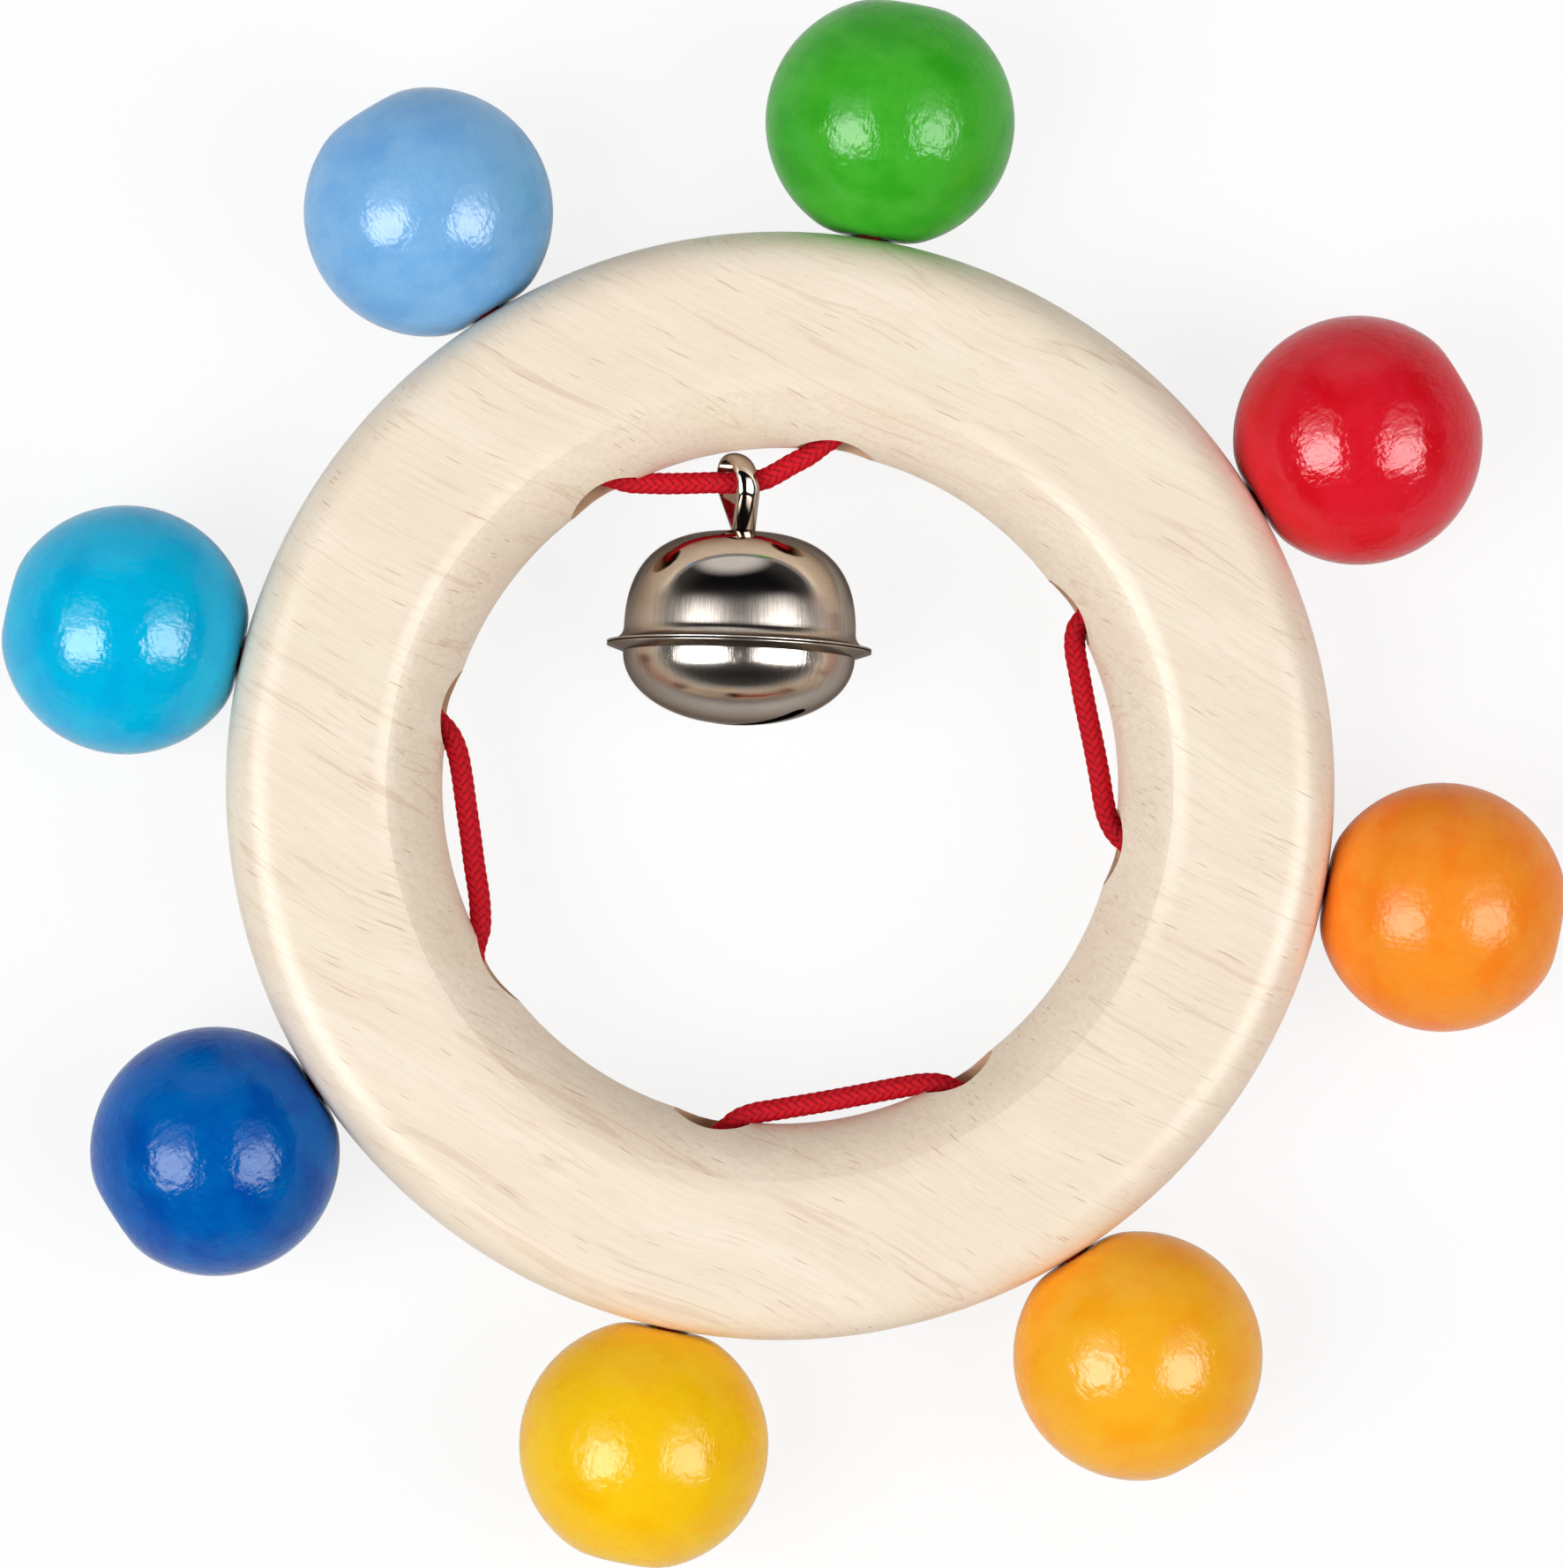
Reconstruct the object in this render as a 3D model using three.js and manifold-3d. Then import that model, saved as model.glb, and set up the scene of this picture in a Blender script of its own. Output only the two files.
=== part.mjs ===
// Bead grasping ring: a turned beech ring with lacquered round beads round its rim. Elastic cords run from
// bead to bead through radial holes in the ring, and a jingle bell hangs on one of them in the opening.
// Millimetres, +Z up. The toy lies flat on its beads: the origin is on the ring's axis, in the plane that it
// lies on.
import * as THREE from "three";
import { mergeVertices } from "three/addons/utils/BufferGeometryUtils.js";
import Module from "manifold-3d";

// Ring
const RING_OUTER_RADIUS = 40;
const RING_INNER_RADIUS = 24.4;
const RING_THICKNESS = 14;
const RING_INNER_SLOPE = 4.5; // how far the inner wall leans back from mid-height to the flat face
const RING_OUTER_SLOPE = 1.3; // the same on the outer wall
const RING_INNER_EDGE = 0.9; // length rounded off each side of the flat face's inner edge
const RING_OUTER_EDGE = 2.6;

// Elastic cord
const CORD_DIAMETER = 1.6;
const KNOT_DIAMETER = 4.2;
const KNOT_LENGTH = 2.8;
const CORD_TAIL = 0.4; // cut end that stands out of the knot
const RING_HOLE_CLEARANCE = 1.8; // between the cord and the ring's hole
const MOUTH_FLARE = 0.5; // how much wider the hole's inner mouth is, all round
const MOUTH_DEPTH = 0.9;
const SPAN_END_DEPTH = 3; // how far inside the ring's holes the span meets the cord's ends
const CORD_JOINT_GAP = 0.3; // between the span and the cord's ends

// Beads
const BEAD_DIAMETER = 18;
const BEAD_RIM_WIDTH = 0.55; // flat rim left round the knot's counterbore
const BORE_CLEARANCE = 0.6; // between the cord and the bead's bore
const KNOT_CLEARANCE = 0.3; // between the knot and its counterbore, all round
const KNOT_SEAT_GAP = 0.15;
const KNOT_COVER = 0.35; // from the end of the cord to the bead's outer flat
const BEAD_RING_GAP = 0.1; // running gap between a bead's flat and the ring

// Bell
const BELL_DIAMETER = 16.76;
const FLANGE_WIDTH = 1.22; // how far the crimped flange stands out, all round
const UPPER_HEIGHT = 8.4; // from the flange's middle to the top
const LOWER_HEIGHT = 5.6; // from the flange's middle to the bottom
const UPPER_FULLNESS = 2.7; // exponent of the outline: 2 is an ellipse, more is squarer
const LOWER_FULLNESS = 2.1;
const SHEET = 0.4;
const CRIMP_GAP = 0.1; // between the two flanges
const SOUND_SLOT_LENGTH = 11;
const SOUND_SLOT_WIDTH = 1.4;
const SOUND_SLOT_TURN = THREE.MathUtils.degToRad(28);
const BELL_LEAN = THREE.MathUtils.degToRad(2.1); // the bell leans to one side of the cord's square
const BELL_FLOOR_GAP = 0.1;
const EYE_RISE = 3.45; // from the shell's top to the cord's centre
const EYE_WIRE = 0.65;
const EYE_WIDTH = 1.75;
const EYE_CLEARANCE = 0.75; // between the cord and the eye
const EYE_TURN = THREE.MathUtils.degToRad(25); // the loop is turned about the bell's axis
const EYE_FOOT = 1.3; // how far each foot spreads past the stem, inside the shell
const EYE_FOOT_GAP = 0.3; // between the feet and the shell
const EYE_SLOT_CLEARANCE = 0.2;
const PELLET_DIAMETER = 5;
const PELLET_GAP = 0.15;
const PELLET_HEIGHT = 1; // above the flange's middle

// Facets
const RING_FACETS = 60;
const BEAD_FACETS = 24;
const BELL_FACETS = 28;
const HOLE_FACETS = 12;
const CORD_SIDES = 8;
const WALL_STEPS = 3;
const EDGE_STEPS = 3;
const BEAD_STEPS = 10;
const KNOT_STEPS = 6;
const SHELL_STEPS = 8;
const EYE_STEPS = 12;
const SPAN_STEPS = 18;
const MERGE_DISTANCE = 1e-4;

// Each bead's colour and its place round the rim, in degrees from +X.
const BEADS = [
  { name: "green", colour: 0x3ca936, angle: 80.6 },
  { name: "red", colour: 0xc41230, angle: 30.9 },
  { name: "orange", colour: 0xf39033, angle: -10.4 },
  { name: "amber", colour: 0xf8ae2c, angle: -57.9 },
  { name: "yellow", colour: 0xfbc81b, angle: -101.7 },
  { name: "dark_blue", colour: 0x0058a8, angle: -147.1 },
  { name: "cyan", colour: 0x08aadd, angle: 166.6 },
  { name: "light_blue", colour: 0x74aee2, angle: 121.5 },
];

// The stretch of each cord that shows in the ring's opening, at the ring's mid-height. It runs between the
// holes of the two beads that the cord joins and turns into them at the flared mouths. Each point of a route
// gives its angle in degrees from +X, and how far it is inside the ring's inner wall in cord diameters.
const BELL_ANGLE = 96.6; // where the bell hangs on the top cord
const BELL_INSET_RATIO = 1.53;
const SPANS = [
  {
    name: "top",
    from: "light_blue",
    to: "green",
    route: [[120.4, -0.51], [118.1, 0.01], [114.2, 0.62], [106.5, 1.14],
      [BELL_ANGLE, BELL_INSET_RATIO], [91.8, 1.37], [88, 0.93], [85.1, 0.48], [82.9, 0.1], [81.4, -0.4]],
  },
  {
    name: "right",
    from: "red",
    to: "orange",
    route: [[29.9, -0.43], [28.2, 0.32], [24.5, 0.76], [16.9, 1.07], [6.1, 1.11], [-3, 0.79], [-7, 0.45],
      [-9.8, -0.16]],
  },
  {
    name: "bottom",
    from: "yellow",
    to: "amber",
    route: [[-100.6, -0.39], [-98.4, 0.25], [-94.9, 0.67], [-87, 0.82], [-76.9, 0.94], [-67.2, 0.74],
      [-63.2, 0.58], [-60.7, -0.08], [-59.1, -0.59]],
  },
  {
    name: "left",
    from: "cyan",
    to: "dark_blue",
    route: [[167.7, -0.36], [170, 0.18], [173.4, 0.59], [179.2, 0.97], [189.2, 1.13], [198.8, 0.89],
      [203.8, 0.7], [207.2, 0.49], [210.1, -0.1]],
  },
];

const CORD_RADIUS = CORD_DIAMETER / 2;
const KNOT_RADIUS = KNOT_DIAMETER / 2;
const RING_HOLE_RADIUS = CORD_RADIUS + RING_HOLE_CLEARANCE;
const SPAN_END_RADIUS = RING_INNER_RADIUS + SPAN_END_DEPTH;
const BEAD_RADIUS = BEAD_DIAMETER / 2;
const BORE_RADIUS = CORD_RADIUS + BORE_CLEARANCE;
const COUNTERBORE_RADIUS = KNOT_RADIUS + KNOT_CLEARANCE;
const COUNTERBORE_DEPTH = KNOT_SEAT_GAP + KNOT_LENGTH + CORD_TAIL + KNOT_COVER;
const BEAD_FLAT_RADIUS = COUNTERBORE_RADIUS + BEAD_RIM_WIDTH;
const BEAD_HALF_LENGTH = Math.sqrt(BEAD_RADIUS ** 2 - BEAD_FLAT_RADIUS ** 2);
const BEAD_CENTRE_RADIUS = RING_OUTER_RADIUS + BEAD_RING_GAP + BEAD_HALF_LENGTH;
const MID_HEIGHT = BEAD_RADIUS; // the ring hangs between the beads, which touch the floor
const BELL_RADIUS = BELL_DIAMETER / 2;
const FLANGE_RADIUS = BELL_RADIUS + FLANGE_WIDTH;
const BELL_DROP = UPPER_HEIGHT + EYE_RISE; // from the cord's centre to the flange's middle
const FLANGE_INNER_FACE = CRIMP_GAP / 2;
const FLANGE_OUTER_FACE = FLANGE_INNER_FACE + SHEET;
const EYE_INNER_RADIUS = CORD_RADIUS + EYE_CLEARANCE;
const EYE_OUTER_RADIUS = EYE_INNER_RADIUS + EYE_WIRE;

const wasm = await Module();
wasm.setup();

// A closed geometry as a solid that can be joined and cut.
function solidOf(geometry) {
  const bare = geometry.clone();
  bare.deleteAttribute("normal");
  bare.deleteAttribute("uv");
  const merged = mergeVertices(bare, MERGE_DISTANCE);
  return new wasm.Manifold(
    new wasm.Mesh({
      numProp: 3,
      vertProperties: merged.attributes.position.array,
      triVerts: new Uint32Array(merged.index.array),
    }),
  );
}

function geometryOf(solid) {
  const mesh = solid.getMesh();
  const geometry = new THREE.BufferGeometry();
  geometry.setAttribute("position", new THREE.BufferAttribute(mesh.vertProperties, 3));
  geometry.setIndex(new THREE.BufferAttribute(mesh.triVerts, 1));
  geometry.computeVertexNormals();
  return geometry;
}

function lathe(pairs, facets) {
  const profile = pairs.map(([radius, along]) => new THREE.Vector2(radius, along));
  return new THREE.LatheGeometry(profile, facets);
}

function addPiece(parent, name, geometry, material) {
  const mesh = new THREE.Mesh(geometry, material);
  mesh.name = name;
  parent.add(mesh);
  return mesh;
}

// Points of a corner rounded from one point to another.
function roundedCorner(before, corner, after) {
  const curve = new THREE.QuadraticBezierCurve(
    new THREE.Vector2(...before),
    new THREE.Vector2(...corner),
    new THREE.Vector2(...after),
  );
  return curve.getPoints(EDGE_STEPS).map((point) => [point.x, point.y]);
}

// One wall of the ring's section from mid-height up to its rounded edge with the flat face: an arc that is
// upright at mid-height. side is 1 where the wall's outside faces the axis and -1 where it faces away.
function wallUp(startRadius, slope, edge, side) {
  const halfHeight = RING_THICKNESS / 2;
  const arcRadius = (slope ** 2 + halfHeight ** 2) / (2 * slope);
  const fullAngle = Math.asin(halfHeight / arcRadius);
  const onArc = (angle) => [
    startRadius + side * arcRadius * (1 - Math.cos(angle)),
    arcRadius * Math.sin(angle),
  ];
  const edgeAngle = fullAngle - edge / arcRadius;
  const wall = [];
  for (let step = 0; step < WALL_STEPS; step++) {
    wall.push(onArc((edgeAngle * step) / WALL_STEPS));
  }
  const corner = onArc(fullAngle);
  const onFace = [corner[0] + side * edge, corner[1]];
  return wall.concat(roundedCorner(onArc(edgeAngle), corner, onFace));
}

function ringProfile() {
  const inner = wallUp(RING_INNER_RADIUS, RING_INNER_SLOPE, RING_INNER_EDGE, 1);
  const outer = wallUp(RING_OUTER_RADIUS, RING_OUTER_SLOPE, RING_OUTER_EDGE, -1);
  const top = inner.concat(outer.toReversed());
  const bottom = top.slice(1, -1).toReversed().map(([radius, height]) => [radius, -height]);
  return top.concat(bottom, [top[0]]).toReversed();
}

// The drill that makes one cord hole, along +Y from the ring's centre, flared where it meets the inner wall.
function holeDrill() {
  const mouth = RING_HOLE_RADIUS + MOUTH_FLARE;
  const start = RING_INNER_RADIUS - MOUTH_FLARE;
  const flare = roundedCorner(
    [mouth, RING_INNER_RADIUS],
    [RING_HOLE_RADIUS, RING_INNER_RADIUS + MOUTH_DEPTH / 2],
    [RING_HOLE_RADIUS, RING_INNER_RADIUS + MOUTH_DEPTH],
  );
  const end = RING_OUTER_RADIUS + RING_HOLE_RADIUS;
  return lathe([[0, start], [mouth, start], ...flare, [RING_HOLE_RADIUS, end], [0, end]], HOLE_FACETS);
}

function stationTurn(degrees) {
  return THREE.MathUtils.degToRad(degrees) - Math.PI / 2;
}

function ringGeometry() {
  let body = solidOf(lathe(ringProfile(), RING_FACETS).rotateX(Math.PI / 2));
  for (const bead of BEADS) {
    body = body.subtract(solidOf(holeDrill().rotateZ(stationTurn(bead.angle))));
  }
  return geometryOf(body);
}

// A bead along +Y: a ball with flat ends, a bore for the cord and a counterbore for its knot at the far end.
function beadGeometry() {
  const flatAngle = Math.asin(BEAD_HALF_LENGTH / BEAD_RADIUS);
  const ball = [];
  for (let step = 0; step <= BEAD_STEPS; step++) {
    const angle = flatAngle * ((2 * step) / BEAD_STEPS - 1);
    ball.push([BEAD_RADIUS * Math.cos(angle), BEAD_RADIUS * Math.sin(angle)]);
  }
  const seat = BEAD_HALF_LENGTH - COUNTERBORE_DEPTH;
  const start = [BORE_RADIUS, -BEAD_HALF_LENGTH];
  const counterbore = [
    [COUNTERBORE_RADIUS, BEAD_HALF_LENGTH],
    [COUNTERBORE_RADIUS, seat],
    [BORE_RADIUS, seat],
  ];
  return lathe([start, ...ball, ...counterbore, start], BEAD_FACETS);
}

// One end of a cord along +Y from the ring's centre: through the ring and the bead to the knot in its
// counterbore.
function cordEndGeometry() {
  const start = SPAN_END_RADIUS + CORD_JOINT_GAP;
  const knotStart = BEAD_CENTRE_RADIUS + BEAD_HALF_LENGTH - COUNTERBORE_DEPTH + KNOT_SEAT_GAP;
  const neckAngle = Math.asin(CORD_RADIUS / KNOT_RADIUS);
  const knot = [];
  for (let step = 0; step <= KNOT_STEPS; step++) {
    const angle = neckAngle + ((Math.PI - 2 * neckAngle) * step) / KNOT_STEPS;
    const along = (Math.cos(neckAngle) - Math.cos(angle)) / (2 * Math.cos(neckAngle));
    knot.push([KNOT_RADIUS * Math.sin(angle), knotStart + KNOT_LENGTH * along]);
  }
  const end = knotStart + KNOT_LENGTH + CORD_TAIL;
  return lathe([[0, start], [CORD_RADIUS, start], ...knot, [CORD_RADIUS, end], [0, end]], CORD_SIDES);
}

// A point at the ring's mid-height.
function pointAt(degrees, radius) {
  const angle = THREE.MathUtils.degToRad(degrees);
  return new THREE.Vector3(radius * Math.cos(angle), radius * Math.sin(angle), 0);
}

function routePoint([degrees, inset]) {
  return pointAt(degrees, RING_INNER_RADIUS - inset * CORD_DIAMETER);
}

function spanGeometry(span) {
  const angleOf = (name) => BEADS.find((bead) => bead.name === name).angle;
  const straight = SPAN_END_RADIUS - CORD_RADIUS;
  const curve = new THREE.CatmullRomCurve3([
    pointAt(angleOf(span.from), SPAN_END_RADIUS),
    pointAt(angleOf(span.from), straight),
    ...span.route.map(routePoint),
    pointAt(angleOf(span.to), straight),
    pointAt(angleOf(span.to), SPAN_END_RADIUS),
  ]);
  const section = new THREE.Shape();
  for (let side = 0; side < CORD_SIDES; side++) {
    const angle = (2 * Math.PI * side) / CORD_SIDES;
    const corner = [CORD_RADIUS * Math.cos(angle), CORD_RADIUS * Math.sin(angle)];
    if (side === 0) {
      section.moveTo(...corner);
    } else {
      section.lineTo(...corner);
    }
  }
  return new THREE.ExtrudeGeometry(section, { steps: SPAN_STEPS, extrudePath: curve });
}

// Outline of a half shell from its flange to its top, on the axis.
function shellOutline(radius, base, height, fullness) {
  const outline = [];
  for (let step = 0; step < SHELL_STEPS; step++) {
    const angle = ((Math.PI / 2) * step) / SHELL_STEPS;
    outline.push([
      radius * Math.cos(angle) ** (2 / fullness),
      base + (height - base) * Math.sin(angle) ** (2 / fullness),
    ]);
  }
  outline.push([0, height]);
  return outline;
}

// A half shell of thin sheet with its flange, opening down.
function shellGeometry(height, fullness) {
  const outside = shellOutline(BELL_RADIUS, FLANGE_OUTER_FACE, height, fullness);
  const inside = shellOutline(BELL_RADIUS - SHEET, FLANGE_INNER_FACE, height - SHEET, fullness);
  const rim = [[FLANGE_RADIUS, FLANGE_INNER_FACE], [FLANGE_RADIUS, FLANGE_OUTER_FACE]];
  return lathe([...inside.toReversed(), ...rim, ...outside], BELL_FACETS);
}

function upperShellGeometry() {
  const slot = new THREE.BoxGeometry(
    2 * (EYE_WIRE + EYE_SLOT_CLEARANCE),
    UPPER_HEIGHT,
    EYE_WIDTH + 2 * EYE_SLOT_CLEARANCE,
  );
  slot.translate(0, UPPER_HEIGHT, 0).rotateY(EYE_TURN - Math.PI / 2);
  return geometryOf(solidOf(shellGeometry(UPPER_HEIGHT, UPPER_FULLNESS)).subtract(solidOf(slot)));
}

function lowerShellGeometry() {
  const endRadius = SOUND_SLOT_WIDTH / 2;
  const endCentre = SOUND_SLOT_LENGTH / 2 - endRadius;
  const outline = new THREE.Shape();
  outline.absarc(endCentre, 0, endRadius, -Math.PI / 2, Math.PI / 2);
  outline.absarc(-endCentre, 0, endRadius, Math.PI / 2, (3 * Math.PI) / 2);
  const slot = new THREE.ExtrudeGeometry(outline, {
    depth: LOWER_HEIGHT,
    bevelEnabled: false,
    curveSegments: EDGE_STEPS,
  });
  slot.rotateX(Math.PI / 2).rotateY(-SOUND_SLOT_TURN).translate(0, -FLANGE_OUTER_FACE - SHEET, 0);
  const shell = shellGeometry(LOWER_HEIGHT, LOWER_FULLNESS).rotateX(Math.PI);
  return geometryOf(solidOf(shell).subtract(solidOf(slot)));
}

// Angle of the point where a line from below touches a circle on its right side.
function touchAngle(fromX, fromDrop, radius) {
  return Math.atan2(-fromDrop, fromX) + Math.acos(radius / Math.hypot(fromX, fromDrop));
}

// The eye: wire bent into a drop-shaped loop, its ends side by side through the shell and spread inside it.
function eyeGeometry() {
  const neck = UPPER_HEIGHT;
  const footTop = UPPER_HEIGHT - SHEET - EYE_FOOT_GAP;
  const footBottom = footTop - EYE_WIRE;
  const footReach = EYE_WIRE + EYE_FOOT;
  const outerTouch = touchAngle(EYE_WIRE, BELL_DROP - neck, EYE_OUTER_RADIUS);
  const outline = new THREE.Shape();
  outline.moveTo(-footReach, footBottom);
  outline.lineTo(footReach, footBottom);
  outline.lineTo(footReach, footTop);
  outline.lineTo(EYE_WIRE, footTop);
  outline.lineTo(EYE_WIRE, neck);
  outline.absarc(0, BELL_DROP, EYE_OUTER_RADIUS, outerTouch, Math.PI - outerTouch);
  outline.lineTo(-EYE_WIRE, neck);
  outline.lineTo(-EYE_WIRE, footTop);
  outline.lineTo(-footReach, footTop);
  const apexDrop = BELL_DROP - neck - EYE_WIRE;
  const innerTouch = touchAngle(0, apexDrop, EYE_INNER_RADIUS);
  const opening = new THREE.Path();
  opening.moveTo(0, BELL_DROP - apexDrop);
  opening.lineTo(
    EYE_INNER_RADIUS * Math.cos(innerTouch),
    BELL_DROP + EYE_INNER_RADIUS * Math.sin(innerTouch),
  );
  opening.absarc(0, BELL_DROP, EYE_INNER_RADIUS, innerTouch, Math.PI - innerTouch);
  outline.holes.push(opening);
  const eye = new THREE.ExtrudeGeometry(outline, {
    depth: EYE_WIDTH,
    bevelEnabled: false,
    curveSegments: EYE_STEPS,
  });
  return eye.translate(0, 0, -EYE_WIDTH / 2).rotateY(EYE_TURN - Math.PI / 2);
}

function finish(colour, roughness, metalness) {
  return new THREE.MeshStandardMaterial({ color: colour, roughness, metalness });
}

// Beads and cord ends stand round the ring, each pair in a group turned to its own angle.
function addStations(parent, cordFinish) {
  for (const bead of BEADS) {
    const station = new THREE.Group();
    station.rotation.z = stationTurn(bead.angle);
    parent.add(station);
    const ball = addPiece(station, "bead_" + bead.name, beadGeometry(), finish(bead.colour, 0.25, 0));
    ball.position.y = BEAD_CENTRE_RADIUS;
    addPiece(station, "cord_end_" + bead.name, cordEndGeometry(), cordFinish);
  }
}

// The bell hangs by its eye on the top cord and lies on the edge of its flange.
function addBell(parent) {
  const nickel = finish(0xb8b2a8, 0.15, 1);
  const tilt = Math.asin((FLANGE_RADIUS + BELL_FLOOR_GAP - MID_HEIGHT) / BELL_DROP);
  const bell = new THREE.Group();
  bell.position.copy(routePoint([BELL_ANGLE, BELL_INSET_RATIO]));
  bell.rotation.set(-tilt, 0, -BELL_LEAN);
  parent.add(bell);
  const hung = new THREE.Group();
  hung.position.y = -BELL_DROP;
  bell.add(hung);
  addPiece(hung, "bell_upper_shell", upperShellGeometry(), nickel);
  addPiece(hung, "bell_lower_shell", lowerShellGeometry(), nickel);
  addPiece(hung, "bell_eye", eyeGeometry(), nickel);
  const pelletRadius = PELLET_DIAMETER / 2;
  const ball = new THREE.SphereGeometry(pelletRadius, HOLE_FACETS, BEAD_STEPS);
  const pellet = addPiece(hung, "bell_pellet", ball, finish(0x8a8a8a, 0.4, 1));
  pellet.position.set(0, PELLET_HEIGHT, -(BELL_RADIUS - SHEET - pelletRadius - PELLET_GAP));
}

const toy = new THREE.Group();
const middle = new THREE.Group();
middle.position.z = MID_HEIGHT;
toy.add(middle);
const cordFinish = finish(0xc8142b, 0.8, 0);
addPiece(middle, "ring", ringGeometry(), finish(0xf3e3cc, 0.6, 0));
addStations(middle, cordFinish);
for (const span of SPANS) {
  addPiece(middle, "cord_span_" + span.name, spanGeometry(span), cordFinish);
}
addBell(middle);

export default toy;
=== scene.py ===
# Looks of a bead grasping ring: a turned beech ring, eight lacquered beads on red elastic cords, and a
# nickel-plated jingle bell. Lengths are in millimetres until a mesh is made, which is in metres.
import math

import bmesh
import bpy
import numpy as np
from mathutils import Matrix, Vector


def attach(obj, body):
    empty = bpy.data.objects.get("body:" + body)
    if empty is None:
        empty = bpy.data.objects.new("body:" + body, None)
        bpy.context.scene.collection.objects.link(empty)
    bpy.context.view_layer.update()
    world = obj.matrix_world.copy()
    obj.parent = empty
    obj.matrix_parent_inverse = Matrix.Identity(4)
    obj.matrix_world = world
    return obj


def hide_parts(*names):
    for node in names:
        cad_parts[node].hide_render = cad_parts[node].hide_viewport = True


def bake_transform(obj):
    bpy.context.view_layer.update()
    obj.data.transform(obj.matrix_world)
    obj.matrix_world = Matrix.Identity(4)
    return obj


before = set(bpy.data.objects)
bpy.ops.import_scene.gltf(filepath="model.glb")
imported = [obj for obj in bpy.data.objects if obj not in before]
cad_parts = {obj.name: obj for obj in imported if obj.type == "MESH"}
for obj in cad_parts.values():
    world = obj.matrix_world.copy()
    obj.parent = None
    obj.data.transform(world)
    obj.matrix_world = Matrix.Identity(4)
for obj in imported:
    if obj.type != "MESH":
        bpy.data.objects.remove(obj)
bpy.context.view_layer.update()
scene = bpy.context.scene

MM = 0.001
TURN = 2 * math.pi

# Ring
RING_OUTER_RADIUS = 40
RING_INNER_RADIUS = 24.4
RING_HALF_HEIGHT = 7
RING_INNER_SLOPE = 4.5
RING_OUTER_SLOPE = 1.3
RING_RIDGE_TILTS = (20, 19, 18, 17, 16, 15, 13, 10, 6, 2)  # degrees, each over RING_RIDGE_STEP
RING_RIDGE_STEP = 0.145
RING_OUTER_EDGE = 2.6
RING_WALL_STEPS = 26
RING_SEGMENTS = 480
RING_SHARP = 6  # degrees between faces from which an edge shows on the ring
CREASE_WANDER = 0.09  # how far the inner wall's crease strays, and the width that strays with it
CREASE_WIDTH = 0.9
CREASE_HEIGHT = 5  # from mid-height; below it the wall stays as it is
MID_HEIGHT = 9

# Cord
CORD_RADIUS = 0.8
CORD_DIAMETER = 2 * CORD_RADIUS
HOLE_RADIUS = 2.65
MOUTH_RADIUS = 2.8
MOUTH_DEPTH = 0.5
HOLE_NARROWS = (34, 36)  # from the ring's axis, where a hole narrows to the bead's bore
CLIMB_START = 32  # the same, where it starts to climb on its way in
TEAR = 0.014  # how much the mouth's outline is torn, as a share of its radius
TEAR_DEPTH = 1.6
SPAN_END_RADIUS = 27.4
KNOT_LENGTH = 2.8
CORD_TAIL = 0.4
KNOT_STRAND_RADIUS = 0.68  # the cord is drawn tight in the knot
KNOT_LOOP = 0.46
KNOT_WAVE = 0.68
BRAID_LEAD = 5.2
BRAID_CARRIERS = 8
BRAID_RELIEF = 0.24  # how deep the gaps between strands are, as a share of the cord's radius

# Beads
BEAD_RADIUS = 9
BEAD_FLAT_RADIUS = 2.95
BORE_RADIUS = 1.4
COUNTERBORE_RADIUS = 2.4
COUNTERBORE_DEPTH = 3.7
KNOT_SEAT_GAP = 0.15
BEAD_RING_GAP = 0.1
BEAD_SOFTENING = math.radians(6)  # how much of the ball is rounded off next to its flats
BEAD_LIP = 0.3  # rounding of the holes' rims
BEAD_HALF_LENGTH = math.sqrt(BEAD_RADIUS**2 - BEAD_FLAT_RADIUS**2)
BEAD_CENTRE_RADIUS = RING_OUTER_RADIUS + BEAD_RING_GAP + BEAD_HALF_LENGTH
KNOT_START = BEAD_CENTRE_RADIUS + BEAD_HALF_LENGTH - COUNTERBORE_DEPTH + KNOT_SEAT_GAP

# Bell
BELL_RADIUS = 8.38
FLANGE_RADIUS = 9.6
UPPER_HEIGHT = 8.4
LOWER_HEIGHT = 5.6
UPPER_FULLNESS = 2.7
LOWER_FULLNESS = 2.1
UPPER_FLANGE = (1.05, 0.17, 1)  # height of its root on the shell and of its tip, and how hollow it is between
LOWER_FLANGE = (0.5, 0.14, 0)
SHELL_SEGMENTS = 160
SHEET = 0.4
CRIMP = 0.05
SLOT_LENGTH = 11
SLOT_WIDTH = 1.4
SLOT_TURN = math.radians(28)
EYE_RISE = 3.45
BELL_DROP = UPPER_HEIGHT + EYE_RISE
BELL_LEAN = math.radians(2.1)
BELL_FLOOR_GAP = 0.1
BELL_TILT = math.asin((FLANGE_RADIUS + BELL_FLOOR_GAP - MID_HEIGHT) / BELL_DROP)
EYE_WIRE = 0.59
EYE_WIDTH = 1.75
EYE_INNER_RADIUS = 1.62
EYE_TURN = math.radians(25)
EYE_LEAN = 0.15  # the loop has been pushed over, by this share of its height
EYE_FOOT = 1.3
EYE_FOOT_GAP = 0.3
EYE_SLOT_CLEARANCE = 0.4
PELLET_RADIUS = 2.5
PELLET_BAND = 0.03
PELLET_GAP = 0.15
PELLET_HEIGHT = 1
NICKEL = (207, 197, 187)

# Lamps, in metres
LAMP_SIZE = 1.15
LAMP_DISTANCE = 1.6
SHINE_DISTANCE = 1.65
SKIRT = 0.85  # length of the dim part of a lamp that only gloss shows
SKIRT_STRENGTH = 0.2

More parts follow.
